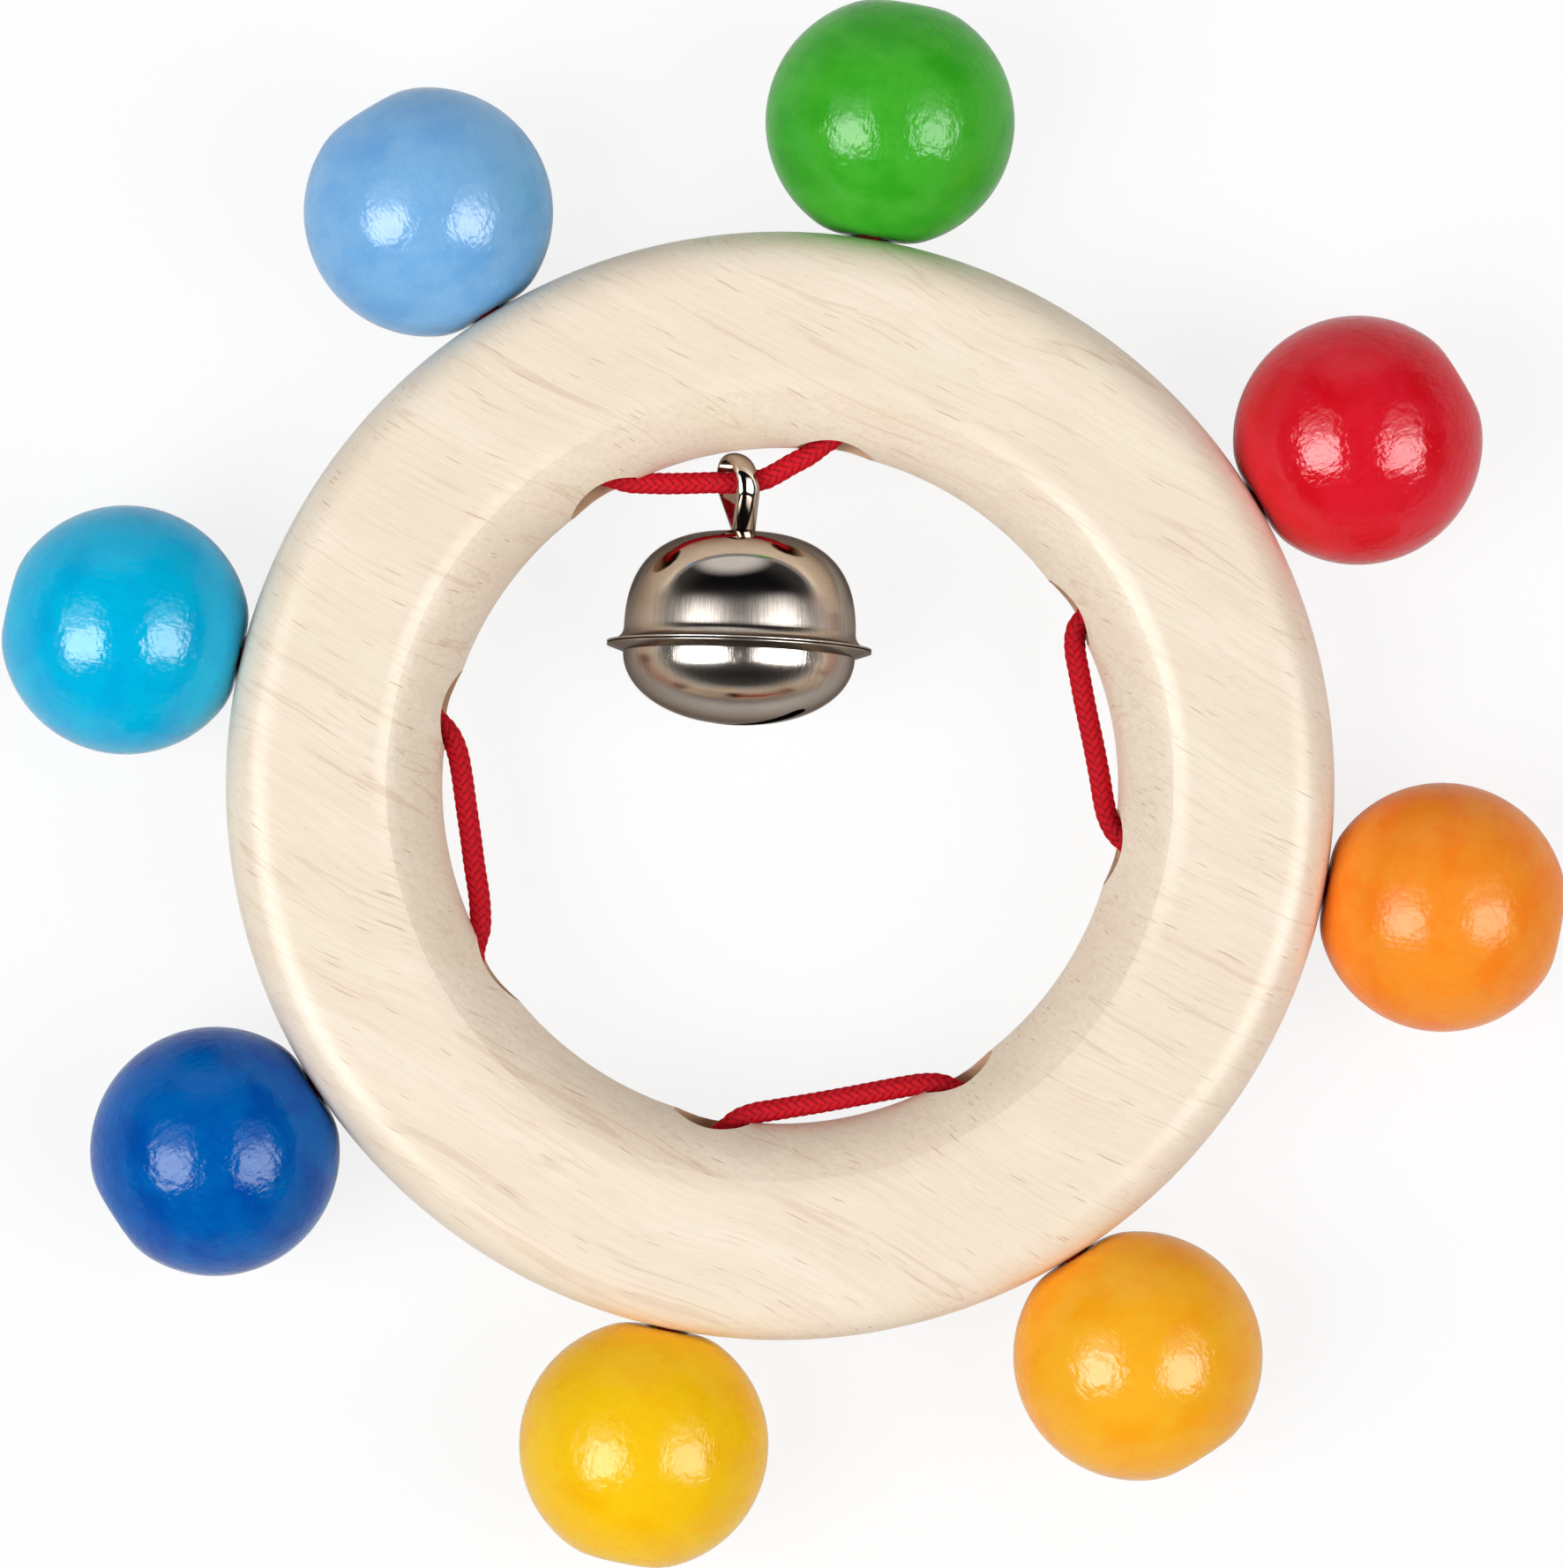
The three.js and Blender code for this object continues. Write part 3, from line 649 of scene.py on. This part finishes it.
def cord_piece(name, parts):
    """One piece of several braided tubes, which keeps their braid heights for the material's painted shade
    between the strands.
    """
    points, faces, heights, count = [], [], [], 0
    for part_points, part_faces, part_heights in parts:
        points.append(part_points)
        heights.append(part_heights)
        faces += [tuple(count + corner for corner in face) for face in part_faces]
        count += len(part_points)
    piece = make_piece(name, np.concatenate(points), faces, sharp=70)
    stored = piece.data.attributes.new("height", "FLOAT", "POINT")
    stored.data.foreach_set("value", np.concatenate(heights).astype(np.float32))
    return piece


def make_span(name, yarn):
    start, end, route = SPANS[name]
    straight = SPAN_END_RADIUS - CORD_RADIUS
    points = [polar(BEADS[start][0], SPAN_END_RADIUS), polar(BEADS[start][0], straight)]
    points += [polar(angle, RING_INNER_RADIUS - depth * CORD_DIAMETER) for angle, depth in route]
    points += [polar(BEADS[end][0], straight), polar(BEADS[end][0], SPAN_END_RADIUS)]
    tube = braid_tube(curve_through(points, 0.07), CORD_RADIUS, 56, (0, 0, 1))
    span = cord_piece("cord_" + name + "_braid", [tube])
    finish_piece(span, yarn, "ring", "cord_span_" + name)


def make_leg(name, yarn):
    """The cord from the span's end to the knot, which stretches as the bead is pulled."""
    degrees = BEADS[name][0]
    ends = np.array([polar(degrees, SPAN_END_RADIUS + 0.02), polar(degrees, KNOT_START + 0.6)])
    path = even_steps(ends, 0.12)
    leg = cord_piece("cord_leg_" + name, [braid_tube(path, CORD_RADIUS, 32, (0, 0, 1))])
    finish_piece(leg, yarn, None, "cord_end_" + name)
    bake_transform(leg)


def make_knot(name, yarn):
    """An overhand knot drawn tight, with the cut end of the cord standing out of it."""
    degrees = BEADS[name][0]
    turn = np.linspace(0, TURN, 150, endpoint=False)
    middle = KNOT_LENGTH / 2
    loop = np.stack([KNOT_LOOP * (np.sin(turn) + 2 * np.sin(2 * turn)), middle - KNOT_WAVE * np.sin(3 * turn),
                     KNOT_LOOP * (np.cos(turn) - 2 * np.cos(2 * turn))], -1)
    tail = even_steps(np.array([[0, 0.2, 0], [0.1, KNOT_LENGTH + CORD_TAIL - 0.02, 0.05]]), 0.1)
    knot = cord_piece("knot_" + name, [
        braid_tube(loop, KNOT_STRAND_RADIUS, 24, (0, 1, 0), closed=True),
        braid_tube(tail, KNOT_STRAND_RADIUS, 24, (0, 0, 1))])
    knot.matrix_world = station(degrees, KNOT_START)
    finish_piece(knot, yarn, name + "_cord_end", "cord_end_" + name)


# Bell

def shell_curve(radius, base, height, fullness, steps):
    """A quarter of a superellipse, from the flange up to the axis."""
    angle = np.linspace(0, math.pi / 2, steps)
    across = radius * np.cos(angle).clip(0) ** (2 / fullness)
    up = base + (height - base) * np.sin(angle) ** (2 / fullness)
    across[-1] = 0
    return np.stack([across, up], -1)


def shell_profile(height, fullness, root, tip, hollow):
    """A half shell of sheet with its flange, which thins from its root on the shell to its tip."""
    outside = shell_curve(BELL_RADIUS, CRIMP + SHEET, height, fullness, 90)
    above = outside[outside[:, 1] > root]
    inside = shell_curve(BELL_RADIUS - SHEET, CRIMP, height - SHEET, fullness, 60)
    brim, foot = np.array([FLANGE_RADIUS - 0.05, tip]), above[0]
    deep = np.array([BELL_RADIUS + 0.12, tip + 0.1 * (root - tip)])
    flange = rounded(brim, (1 - hollow) * (brim + foot) / 2 + hollow * deep, foot, 14)
    edge = rounded((FLANGE_RADIUS - 0.06, CRIMP), (FLANGE_RADIUS, (CRIMP + tip) / 2), flange[0], 6)
    return np.concatenate([inside[::-1], edge[:-1], flange[:-1], above])


def bell_place():
    """Where the bell hangs: its flange's middle is the pieces' origin, and its axis is their Y."""
    hang = polar(BELL_PLACE[0], RING_INNER_RADIUS - BELL_PLACE[1] * CORD_DIAMETER)
    return (Matrix.Translation(Vector(hang) * MM) @ Matrix.Rotation(-BELL_TILT, 4, "X")
            @ Matrix.Rotation(-BELL_LEAN, 4, "Z") @ Matrix.Translation((0, -BELL_DROP * MM, 0)))


def turn_y(points, angle):
    """The points turned about the bell's axis."""
    points = np.asarray(points, float)
    c, s = math.cos(angle), math.sin(angle)
    return np.stack([points[:, 0] * c + points[:, 2] * s, points[:, 1],
                     -points[:, 0] * s + points[:, 2] * c], -1)


def prism(outline, low, high):
    """Points and faces of an outline of (x, z) between two heights."""
    outline = np.asarray(outline, float)
    count = len(outline)
    points = np.concatenate([np.insert(outline, 1, low, 1), np.insert(outline, 1, high, 1)])
    faces = [(i, (i + 1) % count, count + (i + 1) % count, count + i) for i in range(count)]
    return points, faces + [tuple(range(count)), tuple(range(count, 2 * count))]


def stadium(length, width, steps=16):
    """The outline of a slot with round ends."""
    half = np.linspace(-math.pi / 2, math.pi / 2, steps)
    end = np.stack([np.cos(half), np.sin(half)], -1) * width / 2
    reach = np.array([(length - width) / 2, 0])
    return np.concatenate([end + reach, -end - reach])


def make_upper_shell(nickel):
    profile = shell_profile(UPPER_HEIGHT, UPPER_FULLNESS, *UPPER_FLANGE)
    shell = make_piece("bell_upper", *lathe(profile, SHELL_SEGMENTS))
    outline = stadium(EYE_WIDTH + EYE_SLOT_CLEARANCE, 2 * EYE_WIRE + EYE_SLOT_CLEARANCE)[:, ::-1]
    points, faces = prism(outline, UPPER_HEIGHT - 3, UPPER_HEIGHT + 3)
    cut(shell, make_piece("eye_slot", turn_y(points, EYE_TURN - math.pi / 2), faces))
    shell.matrix_world = bell_place()
    finish_piece(shell, nickel, "bell", "bell_upper_shell")


def make_lower_shell(nickel):
    profile = shell_profile(LOWER_HEIGHT, LOWER_FULLNESS, *LOWER_FLANGE)
    points, faces = lathe(profile, SHELL_SEGMENTS)
    shell = make_piece("bell_lower", points * (1, -1, 1), faces)
    slot = stadium(SLOT_LENGTH, SLOT_WIDTH)
    points, faces = prism(slot, -LOWER_HEIGHT - 1, -CRIMP - 2 * SHEET)
    cut(shell, make_piece("sound_slot", turn_y(points, -SLOT_TURN), faces))
    shell.matrix_world = bell_place()
    finish_piece(shell, nickel, "bell", "bell_lower_shell")


def eye_path():
    """The wire's middle from one foot, up, round the loop and down to the other foot."""
    centre, radius, half = BELL_DROP, EYE_INNER_RADIUS + EYE_WIRE / 2, EYE_WIRE / 2
    foot = UPPER_HEIGHT - SHEET - EYE_FOOT_GAP - half
    rise = centre - UPPER_HEIGHT
    touch = math.atan2(-rise, half) + math.acos(radius / math.hypot(half, rise))
    loop = [(radius * math.cos(a), centre + radius * math.sin(a))
            for a in np.linspace(math.pi - touch, touch, 72)]
    left = list(rounded((-half - EYE_FOOT, foot), (-half, foot), (-half, foot + 0.8), 10))
    left.append((-half, UPPER_HEIGHT))
    right = [(-x, y) for x, y in left[::-1]]
    path = np.array(left + loop + right)
    return even_steps(np.column_stack([path, np.zeros(len(path))]), 0.09)[:, :2]


def make_eye(nickel):
    """A strip of half-round wire along the eye's path, its round side outwards."""
    path = eye_path()
    tangent = np.gradient(path, axis=0)
    tangent /= np.linalg.norm(tangent, axis=1, keepdims=True)
    outward = np.stack([-tangent[:, 1], tangent[:, 0]], -1)
    dome = np.linspace(0, math.pi, 21)
    section = [(EYE_WIDTH / 2 * math.cos(a), EYE_WIRE * (math.sin(a) ** 0.8 - 0.5)) for a in dome]
    section += [(-EYE_WIDTH / 2 * s, -EYE_WIRE / 2) for s in (0.8, 0.3, -0.3, -0.8)]
    rows = []
    for wide, out in section:
        place = path + out * outward
        rows.append(np.column_stack([place, np.full(len(place), wide)]))
    points = np.stack(rows, 1).reshape(-1, 3)
    faces = grid_faces(len(path), len(section))
    faces += [tuple(range(len(section))), tuple(range(len(points) - len(section), len(points)))]
    points = turn_y(points, EYE_TURN - math.pi / 2)
    points[:, 0] -= EYE_LEAN * np.clip(points[:, 1] - UPPER_HEIGHT, 0, None)
    eye = make_piece("bell_wire_eye", points, faces, sharp=50)
    eye.matrix_world = bell_place()
    finish_piece(eye, nickel, "bell", "bell_eye")


def make_pellet():
    """A rolled steel pellet with the band left where its two halves were pressed."""
    angle = np.linspace(-math.pi / 2, math.pi / 2, 40)
    radius = (PELLET_RADIUS - PELLET_BAND) + PELLET_BAND * np.exp(-((angle / 0.12) ** 2))
    profile = np.stack([radius * np.cos(angle), radius * np.sin(angle)], -1)
    profile[[0, -1], 0] = 0
    pellet = make_piece("bell_steel_pellet", *lathe(profile, 48))
    seat = BELL_RADIUS - SHEET - PELLET_RADIUS - PELLET_GAP
    pellet.matrix_world = bell_place() @ Matrix.Translation(Vector((0, PELLET_HEIGHT, -seat)) * MM)
    steel = plated("pellet_steel", srgb(150, 150, 152), rough=0.32, wear=0.1, streak=0.004, smear=0.2)
    finish_piece(pellet, steel, "bell_pellet", "bell_pellet")


# Stage, light and camera

def make_stage():
    """A pale floor that turns up into a low wall all round."""
    sweep = rounded((1900, 0), (2700, 0), (2900, 320), 16)
    points, faces = lathe(np.concatenate([[[0, 0], [200, 0], [800, 0]], sweep]), 96)
    floor = make_piece("floor", np.stack([points[:, 0], points[:, 2], points[:, 1]], -1), faces)
    material, tree, shader = new_material("pale_floor")
    shader.inputs["Base Color"].default_value = (FLOOR_PALE, FLOOR_PALE, FLOOR_PALE, 1)
    shader.inputs["Roughness"].default_value = 0.9
    shader.inputs["Specular IOR Level"].default_value = 0.0
    ray = node(tree, "LightPath").outputs
    seen = math_node(tree, "ADD", ray["Is Camera Ray"], ray["Is Transmission Ray"])
    mirrored = math_node(tree, "MULTIPLY", ray["Is Glossy Ray"], MIRRORED_WHITE)
    share = math_node(tree, "ADD", math_node(tree, "MULTIPLY", seen, SEEN_WHITE), mirrored)
    strength = math_node(tree, "MULTIPLY_ADD", ray["Is Glossy Ray"], -MIRRORED_DIMMING, 1.0)
    white = node(tree, "Emission", {"Color": (1, 1, 1, 1), "Strength": strength})
    mixed = node(tree, "MixShader", {0: share, 1: shader.outputs[0], 2: white.outputs[0]})
    tree.links.new(mixed.outputs[0], tree.nodes["Material Output"].inputs[0])
    floor.data.materials.append(material)


def softbox(name, direction, energy, shine):
    """A square lamp, and one behind it that only gloss shows, with a dim skirt to the north."""
    away = Vector(direction).normalized()
    north = (Vector((0, 1, 0)) - away.y * away).normalized()
    facing = Matrix((north.cross(away), north, away)).transposed().to_euler()
    parts = [("light", energy, 0.0)] + ([("shine", shine, SKIRT)] if shine else [])
    for part, power, skirt in parts:
        lamp = bpy.data.lights.new(name + "_" + part, "AREA")
        lamp.shape = "RECTANGLE"
        lamp.size, lamp.size_y = LAMP_SIZE, LAMP_SIZE + skirt
        lamp.energy = power * (LAMP_SIZE + skirt) / LAMP_SIZE
        obj = bpy.data.objects.new(lamp.name, lamp)
        scene.collection.objects.link(obj)
        obj.location = away * (SHINE_DISTANCE if skirt else LAMP_DISTANCE) + north * skirt / 2
        obj.rotation_euler = facing
        obj.visible_camera = False
        obj.visible_glossy = part == "shine"
        obj.visible_diffuse = part == "light"
        if skirt:
            shade_face(lamp, LAMP_SIZE / (LAMP_SIZE + skirt))


def shade_face(lamp, core):
    """Fades a lamp's face out towards its edges, with the bright core at its south end."""
    lamp.use_nodes = True
    tree = lamp.node_tree
    face = node(tree, "SeparateXYZ", {0: node(tree, "NewGeometry").outputs["Parametric"]})
    side = math_node(tree, "ABSOLUTE", math_node(tree, "SUBTRACT", face.outputs[0], 0.5))
    bright = ramp(tree, face.outputs[1], core, 0.7 * core, SKIRT_STRENGTH, 1.0)
    ends = math_node(tree, "MULTIPLY", ramp(tree, face.outputs[1], 0.0, 0.25 * core),
                     ramp(tree, face.outputs[1], 1.0, core))
    strength = math_node(tree, "MULTIPLY", math_node(tree, "MULTIPLY", bright, ends),
                         ramp(tree, side, 0.5, 0.4))
    tree.links.new(strength, tree.nodes["Emission"].inputs["Strength"])


def make_world():
    """A dim studio, a little lighter low down, with a pale wall beyond the top of the picture."""
    world = bpy.data.worlds.new("studio")
    world.use_nodes = True
    scene.world = world
    tree = world.node_tree
    direction = node(tree, "TexCoord").outputs["Generated"]
    height = node(tree, "SeparateXYZ", {0: direction}).outputs[2]
    toward = node(tree, "VectorMath", {0: direction, 1: PALE_WALL_DIRECTION},
                  operation="DOT_PRODUCT").outputs[1]
    colour = blend_colour(tree, ramp(tree, height, 0.6, 0.1), ZENITH, HORIZON)
    colour = blend_colour(tree, ramp(tree, toward, 0.84, 0.97), colour, PALE_WALL)
    tree.links.new(colour, tree.nodes["Background"].inputs["Color"])


def make_camera():
    """On the ring's axis, looking straight down, with the photograph's frame at the ring's mid-height."""
    data = bpy.data.cameras.new("camera")
    data.sensor_width = SENSOR
    data.lens = SENSOR * CAMERA_DISTANCE / FRAME_HEIGHT
    data.clip_start, data.clip_end = 0.01, 50
    camera = bpy.data.objects.new("camera", data)
    camera.location = Vector((*CAMERA_OFFSET, MID_HEIGHT + CAMERA_DISTANCE)) * MM
    scene.collection.objects.link(camera)
    scene.camera = camera


make_camera()
make_stage()
make_world()
softbox("softbox_left", (-0.6, -0.21, 0.77), energy=20.6, shine=76)
softbox("softbox_right", (0.65, -0.19, 0.735), energy=15.3, shine=64)
softbox("fill", (0, 0.75, 0.66), energy=1.6, shine=0)
scene.view_settings.view_transform = "Standard"

make_ring()
yarn = braided("elastic_cord")
for bead_name in BEADS:
    make_bead(bead_name)
    make_leg(bead_name, yarn)
    make_knot(bead_name, yarn)
for span_name in SPANS:
    make_span(span_name, yarn)
nickel = srgb(*NICKEL)
make_upper_shell(plated("nickel_upper", nickel, rough=0.045, wear=0.2, streak=0.009, smear=0.8))
make_lower_shell(plated("nickel_lower", nickel, rough=0.045, wear=0.13, streak=0.009, smear=0.2))
make_eye(plated("nickel_wire", nickel, rough=0.06, wear=0.1, streak=0.004, smear=0.0))
make_pellet()

bpy.context.view_layer.update()
